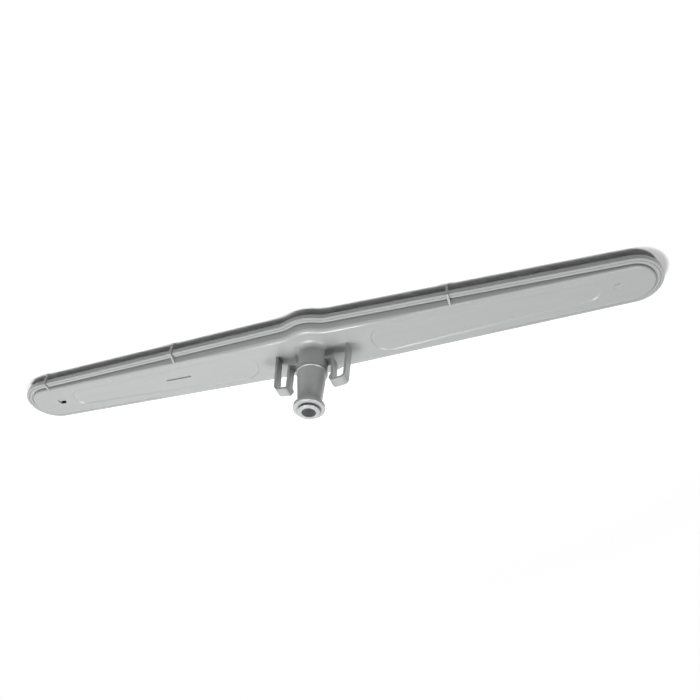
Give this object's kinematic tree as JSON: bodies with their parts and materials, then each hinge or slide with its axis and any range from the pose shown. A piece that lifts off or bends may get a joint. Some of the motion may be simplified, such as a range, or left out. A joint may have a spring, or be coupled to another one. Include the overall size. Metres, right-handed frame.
{
  "type": "dishwasher spray arm",
  "caption": "Long tapered hollow spray arm with a central inlet spout, looped snap clips beside it, angled drive jets near the tips and spray outlets in its flat face.",
  "frame": {"origin": "on the spin axis, in the plane of the spray face that the arm rests on", "axes": "+X along the arm towards the half with the raised bar, +Z along the spin axis out of the inlet spout's mouth"},
  "size_m": [0.46, 0.0568, 0.0666],
  "materials": {
    "hub_shell": "satin moulded grey",
    "spray_shell": "satin moulded grey",
    "inlet_spout": "satin moulded grey"
  },
  "bodies": {
    "root": {"hub_shell": "hub_shell", "spray_shell": "spray_shell", "inlet_spout": "inlet_spout"}
  },
  "joints": []
}
